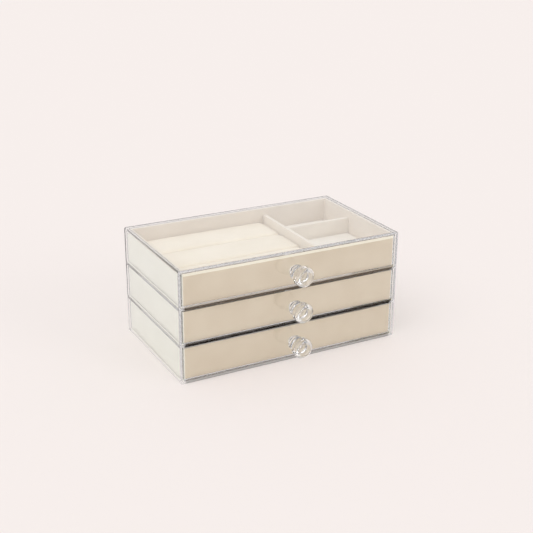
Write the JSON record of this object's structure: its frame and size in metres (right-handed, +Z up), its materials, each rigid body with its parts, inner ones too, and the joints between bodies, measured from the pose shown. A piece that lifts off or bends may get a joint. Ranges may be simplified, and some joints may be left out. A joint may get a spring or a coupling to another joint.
{
  "type": "jewelry organizer",
  "caption": "Clear acrylic jewellery box with stacked pull-out drawers, clear turned knobs, beige flocked liners and cream cushions seen through the fixed clear top.",
  "frame": {"origin": "centre of the underside of the case, on the surface that it stands on", "axes": "+X to the right as seen from the drawer fronts, +Y to the back, +Z up; the drawers open towards -Y"},
  "size_m": [0.235, 0.159, 0.112],
  "materials": {
    "clear_acrylic": "clear moulded acrylic, polished",
    "liner_flock": "beige flock on board",
    "divider_flock": "beige flock on board",
    "cushion_velvet": "cream velvet over foam",
    "floor_pad_flock": "cream flock on foam"
  },
  "bodies": {
    "case": {"case_shell": "clear_acrylic", "upper_shelf": "clear_acrylic", "lower_shelf": "clear_acrylic"},
    "top_drawer": {"top_drawer_tray": "clear_acrylic", "top_knob": "clear_acrylic", "top_liner": "liner_flock", "top_long_divider": "divider_flock", "top_cross_divider": "divider_flock", "top_front_cushion": "cushion_velvet", "top_middle_cushion": "cushion_velvet", "top_rear_cushion": "cushion_velvet", "top_rear_floor_pad": "floor_pad_flock", "top_front_floor_pad": "floor_pad_flock"},
    "middle_drawer": {"middle_drawer_tray": "clear_acrylic", "middle_knob": "clear_acrylic", "middle_liner": "liner_flock", "middle_long_divider": "divider_flock", "middle_cross_divider_1": "divider_flock", "middle_cross_divider_2": "divider_flock", "middle_cross_divider_3": "divider_flock", "middle_cross_divider_4": "divider_flock", "middle_foam_sheet": "floor_pad_flock"},
    "bottom_drawer": {"bottom_drawer_tray": "clear_acrylic", "bottom_knob": "clear_acrylic", "bottom_liner": "liner_flock", "bottom_left_divider": "divider_flock", "bottom_right_divider": "divider_flock", "bottom_left_floor_pad": "floor_pad_flock", "bottom_centre_floor_pad": "floor_pad_flock", "bottom_right_floor_pad": "floor_pad_flock"}
  },
  "joints": [
    {"name": "top_drawer_slide", "type": "slide", "parent": "case", "child": "top_drawer", "axis": [0, -1, 0], "range_m": [0, 0.115]},
    {"name": "middle_drawer_slide", "type": "slide", "parent": "case", "child": "middle_drawer", "axis": [0, -1, 0], "range_m": [0, 0.115]},
    {"name": "bottom_drawer_slide", "type": "slide", "parent": "case", "child": "bottom_drawer", "axis": [0, -1, 0], "range_m": [0, 0.115]}
  ]
}
